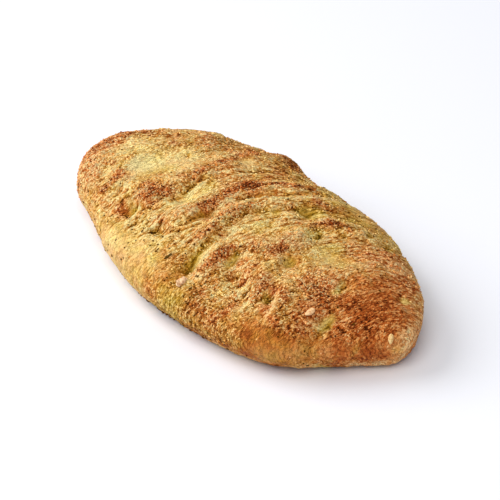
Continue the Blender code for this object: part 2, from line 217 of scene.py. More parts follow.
# where the oven browned the crust more, or less where the amount is below zero: amount, reach
# along and across, the place, and the turn in degrees if it has one
brownedPlaces = [
    (0.22, 12, 9, -46, -33), (0.19, 3.5, 3, -56, -46), (0.2, 5, 4, -54, -51), (0.34, 10, 9, -3, 17),
    (0.12, 9, 18, -8, 44), (0.12, 14, 9, -20, 58), (0.18, 12, 16, -38, 44), (0.17, 6, 4, 64, 28, 20),
    (0.09, 16, 12, 82, -42), (0.1, 8, 20, 44, -58), (0.16, 2.2, 4, 60.5, -47, -15),
    (0.12, 14, 8, 92, 25), (0.14, 22, 9, 62, 48, 10), (0.22, 23, 27, 128, 6), (0.16, 9, 9, 126, 33),
    (0.22, 11, 9, 99, -21), (0.19, 15, 9, 136, -16, -30), (0.2, 10, 8, 116, -14), (0.06, 5, 9, 148, 0),
    (0.1, 14, 9, 104, 43), (0.22, 15, 8, 113, -44, -20), (0.18, 9, 6, 130, -38, 40),
    (0.14, 5, 5, 111, -27), (0.22, 8, 6, 73, -75), (0.2, 4, 4, 84, -40), (0.18, 10, 5, 109, -56, 15),
    (0.16, 6, 4, 71, -63), (0.1, 7, 7, 143, -17), (0.14, 10, 9, 137, 4), (0.08, 8, 8, 102, 38),
    (0.18, 5, 9, 19, -62), (0.16, 4, 5, 125, -27), (0.1, 5, 4, 40, 35), (0.12, 6, 5, 71, -9),
    (0.2, 7, 6, 133, -30), (0.1, 14, 4, 56, -81), (-0.14, 6, 8, -80, -23), (-0.12, 5, 5, -94, -49),
    (0.12, 4, 4, -36, -41), (-0.1, 5, 7, -34, -20), (-0.12, 4, 4, 45, -29), (-0.12, 4, 4, 54, -46),
    (-0.1, 4, 4, 120, -36), (-0.1, 4, 4, 33, 24), (0.1, 4, 4, 60, -24), (0.18, 4, 3.5, 101, -54),
    (-0.12, 4, 5, 12, -3), (-0.12, 4, 4, 24, -58), (-0.12, 4, 4, 44, -44), (0.12, 6, 4, 92, -71),
    (-0.06, 4, 4, 57, -14), (0.14, 4, 5, 25, -69), (-0.14, 4, 10, 12, -77, 60), (0.1, 4, 5, -34, 51),
    (0.18, 12, 6, -11, 63), (-0.14, 6, 9, 35, -64), (0.08, 16, 7, 79, 16, 30), (0.08, 6, 5, 102, -4),
    (0.1, 6, 5, 110, -20), (0.12, 9, 6, 8, -66), (0.12, 3, 7, -25, -6), (0.1, 4, 5, -28, 18),
    (0.1, 4, 4, 113, -32), (0.12, 5, 4, -42, -43), (0.19, 6, 5, -41, 55), (0.1, 5, 5, 88, 36),
    (0.1, 4, 4, 67, -39), (0.1, 5, 7, 149, 12), (0.08, 5, 5, 59, -38), (0.16, 8, 6, 108, -33),
    (0.16, 4, 6, 149, -6), (0.2, 20, 9, 98, -66, 25), (0.2, 13, 7, 51, -76), (0.24, 12, 8, 17, -79),
    (0.12, 6, 5, -18, -43), (0.08, 12, 6, -78, -51, 30), (0.06, 30, 12, 12, 52),
    (-0.2, 12, 18, -98, -6), (0.06, 12, 22, -112, -20), (-0.22, 4, 9, 63, 8, -10),
    (-0.34, 10, 12, -75, -13), (-0.15, 13, 12, -63, 5, 10), (-0.1, 10, 14, -50, 14),
    (-0.24, 8, 17, -21, -20), (-0.11, 5, 12, 3, -15), (-0.12, 4, 12, 10, 12, -20),
    (-0.1, 10, 14, 33, -8, -20), (-0.08, 16, 11, 82, 8), (-0.12, 4, 4, 54, -21), (-0.06, 8, 6, 66, -58),
    (0.09, 8, 6, 88, -50), (0.1, 9, 6, 36, -80), (0.1, 10, 7, -52, -61), (0.06, 10, 8, 34, -12),
    (-0.18, 3.2, 6, 120, -29, 15), (0.34, 1.6, 3, 121.8, -31, 15), (-0.26, 3, 2.6, 136, 23),
    (-0.26, 2, 7, 107, -8, 14), (-0.24, 6, 6, -27, 34), (-0.12, 8, 8, 42, 54), (-0.22, 4, 7, -88, -34),
    (-0.06, 46, 14, -30, -66), (-0.14, 5, 26, 27, -38), (-0.24, 5, 10, -68, -38),
    (-0.18, 3.5, 16, 16, -14, -8), (-0.12, 5, 4, 24, 16), (-0.13, 6, 6, -14, 35),
    (-0.14, 12, 5, -38, -74), (-0.1, 3, 5, 23, -49), (-0.12, 4, 5, -1, -28), (-0.2, 6, 6, -39, 30),
    (-0.1, 4, 4, 46, 43), (-0.08, 5, 5, -60, -46), (-0.1, 4, 5, -11, -47), (-0.1, 4, 4, 68, -20),
    (-0.08, 4, 4, 118, -36), (-0.12, 6, 6, 110, 42), (-0.16, 4, 4, 99, -42), (-0.12, 5, 3, 50, -46),
    (-0.11, 4, 4, -17, -52), (-0.12, 8, 8, -50, -4), (-0.1, 5, 4, -38, -50), (-0.1, 6, 6, -58, 34),
    (-0.1, 4, 6, 6, -48), (-0.2, 5, 8, 156, 7), (-0.08, 6, 6, 119, 1), (-0.1, 7, 5, 117, -14),
    (-0.12, 5, 5, 83, -49), (-0.14, 4, 7, 33, -52), (-0.08, 5, 4, -14, 26), (-0.1, 6, 4, 30, 42),
]

# smooth, oily dough that swelled free of semolina: amount, reaches, place, turn
smoothPlaces = [
    (0.7, 12, 14, -73, -13), (0.6, 9, 9, -60, 5), (0.85, 6, 12, -23, -20), (0.6, 3, 12, -1, -24),
    (0.75, 3, 14, 24, -56), (0.6, 4, 8, 9, 16, -20), (0.9, 5, 7, 71, -16), (0.55, 9, 8, 83, 9),
    (0.6, 3, 2.6, 136, 23), (0.9, 3.4, 6, 120, -30, 15), (0.8, 7, 6, 40, 28), (0.7, 4, 3, 28, 11),
    (0.75, 60, 13, -30, -76), (0.45, 24, 8, 98, -66, 18), (0.4, 24, 12, 62, 52), (0.8, 5, 6, -27, 34),
    (0.7, 7, 4, -48, -50), (0.8, 3, 6, 44, -39), (0.7, 3, 5, 76, -61), (0.6, 3, 4, 90, -49),
]

# the smooth rim round the foot of the darker end
smoothBands = [(0.75, 6, (84, -76), (104, -68), (121, -55), (133, -42), (145, -26), (155, -8), (158, 10))]

# where semolina lies thickest, besides the browned crests: amount, reaches, place, turn
grainyPlaces = [
    (0.45, 12, 10, -48, -32), (0.35, 16, 12, -100, -32), (0.4, 12, 10, -5, 18), (0.45, 12, 10, 98, -20),
    (0.25, 20, 20, 60, -60), (-0.35, 26, 28, 130, 4),
]

# olive rather than reddish, from herbs and oil in the dough: amount, reaches, place, turn
olivePlaces = [
    (0.45, 26, 14, 68, 48, 20), (0.6, 9, 7, 40, 28, 20), (0.45, 9, 18, -23, -16), (0.4, 4, 20, 22, -54),
    (0.9, 3.6, 7, 120.5, -30, 15), (0.4, 14, 8, 33, -81), (0.2, 34, 4, 0, -84),
    (0.25, 40, 11, -22, -67), (0.15, 8, 6, 6, -71), (0.45, 14, 11, 80, 12), (0.6, 5, 6, 70, -15),
    (0.6, 4, 5, 61, 14), (0.6, 3, 7, 44, -39, 10), (0.5, 3, 4, 84, -48), (0.6, 4, 3, 28, 11),
    (0.35, 40, 14, 6, 52), (0.6, 4, 3, 136, 23), (0.3, 14, 14, 32, -2), (0.3, 20, 20, -68, 0),
    (0.2, 14, 18, -98, -6), (0.5, 2.4, 7, 107, -8, 14), (0.4, 4, 3, -44, -49), (-0.25, 26, 30, 138, 2),
    (0.14, 34, 11, 112, -58, 30), (-0.3, 7, 6, 111, -27), (-0.3, 7, 7, 99, -9),
    (-0.25, 16, 10, 112, 37), (-0.3, 6, 7, 58, -1), (-0.4, 8, 12, 152, 8), (0.24, 34, 8, 44, -79),
    (0.16, 26, 8, 94, -71, 25), (-0.2, 6, 16, 6, -16), (-0.3, 18, 12, -106, -38),
    (-0.3, 12, 24, -114, -10),
]

# burnt crumbs along the foot, and a painted contact shadow that darkens the crust's lowest millimetres there:
# amount, reaches, place, turn
crumbAndShadePlaces = [
    (1, 22, 12, 8, -78, -4), (0.6, 12, 12, 44, -78, 4), (0.3, 8, 12, -22, -76, 30),
    (0.4, 5, 4, 128, 40),
]

# herb flecks in the dough: amount, reaches, place, turn
herbPlaces = [
    (0.9, 42, 14, -20, -60), (1, 22, 9, 44, -73), (0.3, 24, 14, 66, 48), (0.6, 14, 10, -92, -46),
    (0.5, 8, 12, 14, -48), (0.2, 16, 10, 112, -48),
]


def limited(value, least=0.0):
    return np.clip(value, least, 1.0)


def smoothStep(value):
    value = limited(value)
    return value * value * (3.0 - 2.0 * value)


def waveSum(angle, waves):
    total = 0.0
    for order, (cosine, sine) in waves.items():
        total = total + cosine * np.cos(order * angle) + sine * np.sin(order * angle)
    return total


# the plain dome as a table over the angle round it and the share of the way from crown to foot
def domeTable(angleSteps=1440, shareSteps=360, arcSteps=160):
    angle = np.linspace(-math.pi, math.pi, angleSteps + 1)
    across, along = np.abs(np.sin(angle)), np.abs(np.cos(angle))
    power = crust["outlinePower"]
    reach = (along**power + across**power) ** (-1.0 / power) * (1.0 + waveSum(angle, crust["outlineWaves"]))
    rimX = crust["halfLength"] * reach * np.cos(angle)
    rimY = crust["halfWidth"] * reach * np.sin(angle)

    crown, bulge = crust["crownHeight"], crust["bulgeHeight"]
    crownPower = crust["crownPowerAlong"] * along**2 + crust["crownPowerAcross"] * (1.0 - along**2)
    over = np.sin(np.linspace(0.0, math.pi / 2.0, arcSteps))
    under = np.linspace(0.0, 1.0, arcSteps // 4)[1:]
    cap = (1.0 - over[None, :] ** crownPower[:, None]) ** (1.0 / crust["shoulderPower"])
    inset = (crust["footInset"] + waveSum(angle, crust["footWaves"]))[:, None] * under[None, :] ** 2
    x = np.hstack([rimX[:, None] * over, rimX[:, None] - inset * np.cos(angle)[:, None]])
    y = np.hstack([rimY[:, None] * over, rimY[:, None] - inset * np.sin(angle)[:, None]])
    wallZ = np.repeat(bulge * (1.0 - under[None, :]), len(angle), axis=0)
    z = np.hstack([bulge + (crown - bulge) * cap, wallZ])
    profile = np.stack([x, y, z], axis=2)

    lengths = np.linalg.norm(np.diff(profile, axis=1), axis=2).cumsum(axis=1)
    lengths = np.hstack([np.zeros((len(angle), 1)), lengths])
    share = np.linspace(0.0, 1.0, shareSteps + 1)
    places = np.empty((len(angle), len(share), 3))
    for row in range(len(angle)):
        for axis in range(3):
            places[row, :, axis] = np.interp(share * lengths[row, -1], lengths[row], profile[row, :, axis])
    roundIt = np.gradient(places, axis=0)
    roundIt[0] = roundIt[-1] = places[1] - places[-2]
    normals = np.cross(np.gradient(places, axis=1), roundIt)
    size = np.linalg.norm(normals, axis=2, keepdims=True)
    normals = np.where(size > 0.0, normals / np.maximum(size, 1e-9), (0.0, 0.0, 1.0))
    return np.concatenate([places, normals], axis=2)


def onDome(table, angle, share):
    row = (angle + math.pi) / (2.0 * math.pi) * (table.shape[0] - 1)
    column = share * (table.shape[1] - 1)
    rowBase = np.minimum(row.astype(int), table.shape[0] - 2)
    columnBase = np.minimum(column.astype(int), table.shape[1] - 2)
    rowMix = (row - rowBase)[:, None]
    columnMix = (column - columnBase)[:, None]
    low = table[rowBase, columnBase] * (1 - columnMix) + table[rowBase, columnBase + 1] * columnMix
    high = table[rowBase + 1, columnBase] * (1 - columnMix) + table[rowBase + 1, columnBase + 1] * columnMix
    mixed = low * (1 - rowMix) + high * rowMix
    normals = mixed[:, 3:]
    return mixed[:, :3], normals / np.maximum(np.linalg.norm(normals, axis=1, keepdims=True), 1e-9)


def crestLine(points, steps=10):
    given = np.array(points, dtype=float)
    padded = np.vstack([2.0 * given[0] - given[1], given, 2.0 * given[-1] - given[-2]])
    t = np.linspace(0.0, 1.0, steps, endpoint=False)[:, None]
    spans = []
    for before, start, stop, after in zip(padded, padded[1:], padded[2:], padded[3:]):
        bend = 2.0 * before - 5.0 * start + 4.0 * stop - after
        twist = 3.0 * start - before - 3.0 * stop + after
        spans.append(start + 0.5 * ((stop - before) * t + bend * t**2 + twist * t**3))
    spans.append(given[-1:])
    return np.vstack(spans)


def alongLine(places, height, halfWidth, points, sharpness=2.0):
    line = crestLine(points)
    margin = crust["bandMargin"] * halfWidth
    inside = (places > line.min(axis=0) - margin) & (places < line.max(axis=0) + margin)
    near = inside.all(axis=1)
    gaps = np.linalg.norm(places[near][:, None, :] - line[None, :, :], axis=2)
    passed = gaps.argmin(axis=1) / (len(line) - 1)
    ease = smoothStep(np.minimum(passed, 1.0 - passed) / crust["foldTaper"])
    total = np.zeros(len(places))
    total[near] = height * ease * np.exp(-((gaps.min(axis=1) / halfWidth) ** sharpness))
    return total


# how far places lie from a middle, along and across a direction turned by some degrees
def turnedOffset(places, middle, turn):
    x, y = (places - middle).T
    cosine, sine = math.cos(math.radians(turn)), math.sin(math.radians(turn))
    return x * cosine + y * sine, y * cosine - x * sine


def bump(places, height, reach, middle, turn=0.0, sharpness=1.0):
    along, across = turnedOffset(places, middle, turn)
    return height * np.exp(-(((along / reach[0]) ** 2 + (across / reach[1]) ** 2) ** sharpness))


def mainRelief(places):
    height = np.zeros(len(places))
    for size, halfWidth, *points in folds.values():
        height += alongLine(places, size * crust["reliefGain"], halfWidth, points, crust["foldSharpness"])
    for depth, halfWidth, *points in furrows.values():
        height -= alongLine(places, depth, halfWidth, points)
    for depth, reachX, reachY, *middle in dimples:
        height -= bump(places, depth * crust["reliefGain"], (reachX, reachY), middle)
    for size, *middle in swells:
        height += bump(places, size, swellReach, middle)
    for size, reachX, reachY, *middle in edgeSwells:
        height += bump(places, size, (reachX, reachY), middle)
    return height


# how sharply patches of colour, bands of colour and creases end
patchSharpness = 1.5
bandSharpness = 3.0
creaseSharpness = 1.5


def placeSum(places, table):
    total = np.zeros(len(places))
    for amount, reachX, reachY, x, y, *turn in table:
        total += bump(places, amount, (reachX, reachY), (x, y), *turn, sharpness=patchSharpness)
    return total


def bandSum(places, table, sharpness=bandSharpness):
    total = np.zeros(len(places))
    for amount, halfWidth, *points in table:
        total += alongLine(places, amount, halfWidth, points, sharpness)
    return total


pocketPowers = {"steep": 3, "gentle": 1.5, "along": 2.5}


def pocketSum(places):
    total = np.zeros(len(places))
    for depth, gentle, steep, along, turn, *middle in pockets:
        across, lengthwise = turnedOffset(places, middle, turn)
        steepSide = (across / steep) ** pocketPowers["steep"]
        slope = np.where(across > 0.0, steepSide, np.abs(across / gentle) ** pocketPowers["gentle"])
        total += depth * np.exp(-slope - np.abs(lengthwise / along) ** pocketPowers["along"])
    return total


def roughNoise(places, wavelength, shift):
    scaled = places / np.array(wavelength) + shift
    return np.array([noise.noise(Vector(place)) for place in scaled])


# rounded granules, about -0.5 at the gaps and 0.5 at the tips; the crust material darkens the gaps as painted
# shade
def granuleNoise(places, size, shift):
    scaled = places / size + shift
    return 0.5 - np.array([noise.voronoi(Vector(place))[0][0] for place in scaled])


# the same places, sheared so that the folds stand upright in them: folds lean across the loaf
# and bend over further on its far side
foldLean = 0.15
foldBend = 0.008


def foldCoords(places):
    x, y = places[:, 0], places[:, 1]
    upright = x - foldLean * y - foldBend * np.maximum(y, 0.0) ** 2
    return np.stack([upright, y, places[:, 2]], axis=1)


# creases that run with the folds: sharp valleys between rounded rolls of dough
def creaseNoise(places, wavelength, shift):
    rolls = np.abs(roughNoise(foldCoords(places), wavelength, shift)) * fineRelief["creaseSteepness"]
    return np.minimum(rolls, 1.0) - 0.5


def cornersOf(part):
    return sorted((vert.index for vert in part.verts), reverse=True)


# mesh operators leave no fixed order, and what is strewn on the faces goes by theirs
def putInOrder(parts, key):
    for index, part in enumerate(sorted(parts, key=key)):
        part.index = index
    parts.sort()


# a flat grid whose edge is drawn down row by row: the rows are counted in -Z
def ovalGrid():
    mesh = bmesh.new()
    bmesh.ops.create_grid(
        mesh, x_segments=crust["cellsAlong"], y_segments=crust["cellsAcross"], size=1.0
    )
    edge = [e for e in mesh.edges if e.is_boundary]
    for _ in range(crust["wallRows"] + crust["undersideRows"]):
        drawn = bmesh.ops.extrude_edge_only(mesh, edges=edge)["geom"]
        for item in drawn:
            if isinstance(item, bmesh.types.BMVert):
                item.co.z -= 1.0
        edge = [item for item in drawn if isinstance(item, bmesh.types.BMEdge) and item.is_boundary]
    bmesh.ops.edgeloop_fill(mesh, edges=edge)
    bmesh.ops.recalc_face_normals(mesh, faces=mesh.faces)
    putInOrder(mesh.verts, lambda vert: (-vert.co.z, vert.co.y, vert.co.x))
    putInOrder(mesh.faces, cornersOf)
    return mesh


# how far each point stands above its surroundings, in millimetres
def standOut(grid, heights, rounds):
    pairs = np.array(sorted(cornersOf(edge) for edge in grid.edges))
    count = np.bincount(pairs.ravel(), minlength=len(heights))
    level = heights.copy()
    for _ in range(rounds):
        near = np.bincount(pairs[:, 0], level[pairs[:, 1]], len(heights))
        near += np.bincount(pairs[:, 1], level[pairs[:, 0]], len(heights))
        level = 0.5 * (level + near / count)
    return heights - level


fineRelief = {
    # how far edges of folds and patches wander: size of the waves, and reach
    "raggedness": [(9.0, 1.3), (3.5, 0.7)],
    "lumpSize": 6.0,
    "lumpHeight": 0.5,
    "granuleSize": 1.5,
    "granuleHeight": 0.7,
    # size across, along and down the creases, their height, and the shift of their noise
    "creases": [((10.0, 28.0, 24.0), 1.5, 7.9), ((5.4, 16.0, 14.0), 1.0, 1.4), ((2.6, 8.0, 8.0), 0.6, 5.6)],
    "creaseSteepness": 2.6,
    "leastCrumpled": 0.25,
    # marks round the foot where the dough stretched
    "stretchSize": (3.0, 16.0),
    "stretchHeight": 0.6,
    # how much of the lumps and creases smooth dough loses
    "smoothLumps": 0.5,
    "smoothCreases": 0.85,
    # how many times the heights are levelled out to find what stands above its surroundings
    "tipRounds": 5,
    "rollRounds": 40,
}

# the foot's rim: how far it stands out, how far it is turned in under that, at what height
rim = {"swell": 1.3, "turnIn": 5.0, "height": 3.5, "reach": 3.0}

# heights between which things set in, or fade out where the first height is the upper one
fades = {
    "relief": (0.0, crust["bulgeHeight"]),
    "fineRelief": (0.0, 4.0),
    "grains": (8.0, 24.0),
    # heights of the painted bounce light on the foot
    "footBounceHeights": (15.0, 6.0),
    # heights of the painted contact shadow along the foot
    "crumbsAndContactShade": (4.0, 1.0),
    "semolina": (3.0, 23.0),
    "herbs": (3.0, 9.0),
    "charAbove": (0.5, 2.0),
    "charBelow": (8.0, 5.0),
}

# what the fields that colour the crust are made up of
fieldShares = {
    "granular": {"base": 0.28, "bands": 1.8, "browned": 0.8, "smooth": 0.9, "foot": 0.35, "side": 0.65},
    "browningAndPaintedLight": {"base": 0.38, "gain": 1.1, "smooth": 0.5, "stretch": 0.2, "noise": 0.1, "crumbsAndContactShade": 0.45},
    "olive": {"base": 0.38, "browned": 1.5, "noise": 0.3},
    "semolina": {"gain": 1.25, "threshold": 0.22, "least": 0.02},
    "herbs": {"base": 0.04},
}
# the height or depth that counts as one
fieldDepths = {"tip": 0.3, "roll": 1.2, "hollow": 4.0}
browningNoiseSize = 14.0
oliveNoiseSizes = (11.0, 5.0)

# how crumpled the dough is between the folds: amount, reaches, place, turn
crumpledPlaces = [
    (1, 50, 24, -30, -46), (0.7, 30, 40, -10, 10), (0.8, 24, 40, 30, 0), (0.6, 40, 20, 80, -48),
    (0.5, 40, 30, 70, 30), (0.5, 30, 30, -100, 0),
]


def fade(places, name):
    start, stop = fades[name]
    return smoothStep((places[:, 2] - start) / (stop - start))


def rimOffset(height):
    swell = rim["swell"] * np.exp(-(((height - rim["height"]) / rim["reach"]) ** 2))
    return swell - rim["turnIn"] * limited(1.0 - height / rim["height"]) ** 2


def crustMesh():
    grid = ovalGrid()
    grid.verts.index_update()
    x, y, z = np.array([v.co for v in grid.verts]).T
    discX = x * np.sqrt(1.0 - y**2 / 2.0)
    discY = y * np.sqrt(1.0 - x**2 / 2.0)
    angle = np.arctan2(discY, discX)
    wall = np.minimum(-z / crust["wallRows"], 1.0)
    share = limited(crust["capShare"] * np.hypot(discX, discY) + (1.0 - crust["capShare"]) * wall)
    places, normals = onDome(domeTable(), angle, share)
    outward = rimOffset(places[:, 2])
    places[:, 0] += outward * np.cos(angle)
    places[:, 1] += outward * np.sin(angle)
    plan = places[:, :2].copy()
    form = fineRelief
    for size, reach in form["raggedness"]:
        plan[:, 0] += roughNoise(places, size, shift=21.5) * reach
        plan[:, 1] += roughNoise(places, size, shift=43.1) * reach

    lift = fade(places, "relief")
    smooth = limited(placeSum(plan, smoothPlaces) + bandSum(plan, smoothBands))
    main = mainRelief(plan) * lift
    places += normals * main[:, None]

    footFade, high = fade(places, "fineRelief"), fade(places, "grains")
    # the pockets and creases sink the surface, and the crust material also darkens them as painted shade
    hollow = (pocketSum(plan) + bandSum(plan, creaseLines, creaseSharpness)) * lift
    bands, patches = bandSum(plan, brownedBands), placeSum(plan, brownedPlaces)
    shares = fieldShares["granular"]
    granular = shares["base"] + bands * shares["bands"] + placeSum(plan, grainyPlaces)
    granular = limited(granular + np.maximum(patches, 0.0) * shares["browned"])
    granular *= (1.0 - shares["smooth"] * smooth) * (shares["foot"] + shares["side"] * high)
    granules = granuleNoise(places, form["granuleSize"], shift=11.3)
    lumps = roughNoise(places, form["lumpSize"], shift=3.7) * form["lumpHeight"]
    crumpled = limited(placeSum(plan, crumpledPlaces), form["leastCrumpled"])
    crumpled = crumpled * (1.0 - form["smoothCreases"] * smooth) * high
    creases = np.zeros(len(plan))
    for size, height, shift in form["creases"]:
        creases += creaseNoise(places, size, shift) * height
    creases *= crumpled
    width, length = form["stretchSize"]
    ring = np.stack([angle * crust["halfWidth"] / width, places[:, 2] / length, share], axis=1)
    stretch = roughNoise(ring, 1.0, shift=2.3) * (1.0 - high)
    fine = lumps * (1.0 - form["smoothLumps"] * smooth) + creases + stretch * form["stretchHeight"]
    fine += granules * granular * form["granuleHeight"]
    places += normals * (fine * footFade - hollow)[:, None]
    # how far the surface stands out of its surroundings, finely and broadly: the crust material paints light
    # on what stands out and shade on what is sunk
    tips = standOut(grid, fine * footFade - hollow, form["tipRounds"])
    rolls = standOut(grid, main + fine * footFade - hollow, form["rollRounds"])

    # the underside: rows drawn in from the foot, flat on the table
    inward = np.maximum(-z - crust["wallRows"], 0.0) / crust["undersideRows"]
    places[:, :2] *= (1.0 - crust["undersideInset"] * inward)[:, None]
    places[inward > 0.0, 2] = 0.0
    top = inward <= 0.0

    # browning of the crust, with painted light and shade laid into it: the foot paler from light bounced off
    # the table, and its lowest edge darker as contact shadow
    shares = fieldShares["browningAndPaintedLight"]
    browned = patches + bands * (1.0 - shares["smooth"] * smooth)
    browningAndPaintedLight = shares["base"] + shares["gain"] * (browned + bandSum(plan, paleBands))
    browningAndPaintedLight = browningAndPaintedLight + shares["stretch"] * stretch
    browningAndPaintedLight += shares["noise"] * roughNoise(places, browningNoiseSize, shift=5.1)
    # painted light: the low foot made paler where light bounced off the table falls
    browningAndPaintedLight += placeSum(plan, footBounceLight) * fade(places, "footBounceHeights")
    crumbsAndContactShade = limited(placeSum(plan, crumbAndShadePlaces))
    # painted contact shadow: the crust darkened along its lowest few millimetres where the crumbs lie
    browningAndPaintedLight += shares["crumbsAndContactShade"] * crumbsAndContactShade * fade(places, "crumbsAndContactShade")
    shares = fieldShares["olive"]
    olive = shares["base"] + placeSum(plan, olivePlaces) - shares["browned"] * np.maximum(browned, 0.0)
    broad, small = (roughNoise(places, *given) for given in zip(oliveNoiseSizes, (9.4, 2.6)))
    olive += shares["noise"] * broad + shares["noise"] * small
    shares = fieldShares["semolina"]
    strewn = limited(granular * shares["gain"] - shares["threshold"], shares["least"])
    herbs = limited(fieldShares["herbs"]["base"] + placeSum(plan, herbPlaces))

    for vert, place in zip(grid.verts, places):
        vert.co = (place - np.array([*domeMiddle, 0.0])) * mm
    mesh = bpy.data.meshes.new("crustTop")
    grid.to_mesh(mesh)
    grid.free()
    mesh.shade_smooth()
    fields = {
        "browningAndPaintedLight": limited(browningAndPaintedLight),
        "smooth": smooth,
        "granular": granular,
        "tip": limited(tips / fieldDepths["tip"], -1.0),
        "roll": limited(rolls / fieldDepths["roll"], -1.0),
        "olive": limited(olive),
        "hollow": limited(hollow / fieldDepths["hollow"]),
        "underside": (inward > 0.0) * 1.0,
        "semolina": strewn * fade(places, "semolina") * top,
        "herbs": herbs * fade(places, "herbs") * top,
        "char": crumbsAndContactShade * (fade(places, "charAbove") * fade(places, "charBelow")) * top,
    }
    for name, values in fields.items():
        mesh.attributes.new(name, "FLOAT", "POINT").data.foreach_set("value", values.astype(np.float32))
    upright = mesh.attributes.new("alongFolds", "FLOAT_VECTOR", "POINT")
    upright.data.foreach_set("vector", foldCoords(places).astype(np.float32).ravel())
    return mesh


# nodes: inputs by name or number, each a value or another node's socket
def addNode(tree, kind, inputs=None, **settings):
    made = tree.nodes.new(kind)
    for name, value in settings.items():
        setattr(made, name, value)
    for name, value in (inputs or {}).items():
        if isinstance(value, bpy.types.NodeSocket):
            tree.links.new(value, made.inputs[name])
        else:
            made.inputs[name].default_value = value
    return made


def newMaterial(name, roughness):
    material = bpy.data.materials.new(name)
    material.use_nodes = True
    tree = material.node_tree
    shader = tree.nodes["Principled BSDF"]
    shader.inputs["Roughness"].default_value = roughness
    shader.inputs["Specular IOR Level"].default_value = 0.05
    return material, tree, shader


def mathNode(tree, operation, first, second, clamp=False):
    inputs = {0: first, 1: second}
    return addNode(tree, "ShaderNodeMath", inputs, operation=operation, use_clamp=clamp).outputs[0]


def mathNodes(tree):
    return (partial(mathNode, tree, operation) for operation in ("MULTIPLY", "ADD", "SUBTRACT"))


def mapNode(tree, value, fromLow, fromHigh, toLow, toHigh):
    inputs = {0: value, 1: fromLow, 2: fromHigh, 3: toLow, 4: toHigh}
    return addNode(tree, "ShaderNodeMapRange", inputs).outputs[0]


def attributeNode(tree, name):
    return addNode(tree, "ShaderNodeAttribute", attribute_name=name).outputs["Fac"]


def noiseNode(tree, vector, scale=1.0, detail=3.0, roughness=0.6):
    inputs = {"Vector": vector, "Scale": scale, "Detail": detail, "Roughness": roughness}
    return addNode(tree, "ShaderNodeTexNoise", inputs).outputs["Fac"]


def bumpNode(tree, height, distance):
    inputs = {"Height": height, "Strength": 1.0, "Distance": distance}
    return addNode(tree, "ShaderNodeBump", inputs).outputs[0]


def mixNode(tree, share, first, second):
    return addNode(tree, "ShaderNodeMix", {0: share, 6: first, 7: second}, data_type="RGBA").outputs[2]


# a colour given as it looks on screen, 0 to 255
def sRgb(colour):
    scaled = [part / 255.0 for part in colour]
    return tuple(part / 12.92 if part <= 0.04045 else ((part + 0.055) / 1.055) ** 2.4 for part in scaled)


def rampNode(tree, value, stops):
    ramp = addNode(tree, "ShaderNodeValToRGB", {0: value})
    points = ramp.color_ramp.elements
    while len(points) < len(stops):
        points.new(1.0)
    for point, (position, colour) in zip(points, stops):
        point.position = position
        point.color = (*sRgb(colour), 1.0)
    return ramp.outputs[0]


# from the palest crust to the darkest
toneStops = (0.0, 0.22, 0.42, 0.62, 0.82, 1.0)
crustTones = {
    "reddish": [(254, 227, 162), (252, 198, 136), (231, 157, 87), (201, 109, 45), (154, 67, 18), (88, 36, 5)],
    "olive": [(254, 238, 162), (250, 219, 130), (227, 187, 90), (191, 147, 45), (134, 98, 15), (64, 44, 3)],
}

crustLook = {
    "underside": (150, 92, 44),
    # each pattern's scale across, along and down the folds
    "streaks": (1.1, 0.38, 0.38),
    "grains": (1.35, 0.72, 0.55),
    "wrinkles": (0.50, 0.17, 0.2),
    "grooveWidth": 0.035,
    "patchSize": 4.0,
    # grain by grain: the range of grains that is paler or burnt, and the most they shift
    "paleGrains": (0.60, 0.92, 0.0, -0.52),
    "burntGrains": (0.06, 0.34, 0.40, 0.0),
    "leastGrains": 0.2,
    # how far tips, rolls, patches, streaks and grooves shift the tone; tips and rolls are painted light and
    # shade, raised places paler and sunken ones darker, and grooves are painted shade
    "shifts": (-0.26, -0.16, 0.16, 1.1, 0.15),
    "rollMost": 0.3,
    # painted shade: how much darker the hollows of pockets and creases are made
    "hollowShade": 0.34,
    "hollowOlive": 0.5,
    # what smooth dough loses of those shifts and of the roughness
    "smoothShifts": 0.8,
    "smoothGloss": 0.28,
    "roughness": 0.66,
    # how high grains and streaks stand in the bump, and how deep grooves are
    "bumps": (1.6, 1.2, 0.5),
    "bumpDepth": 0.0016,
}


def crustColour(tree, olive, tone):
    ramps = (rampNode(tree, tone, list(zip(toneStops, tones))) for tones in crustTones.values())
    return mixNode(tree, olive, *ramps)


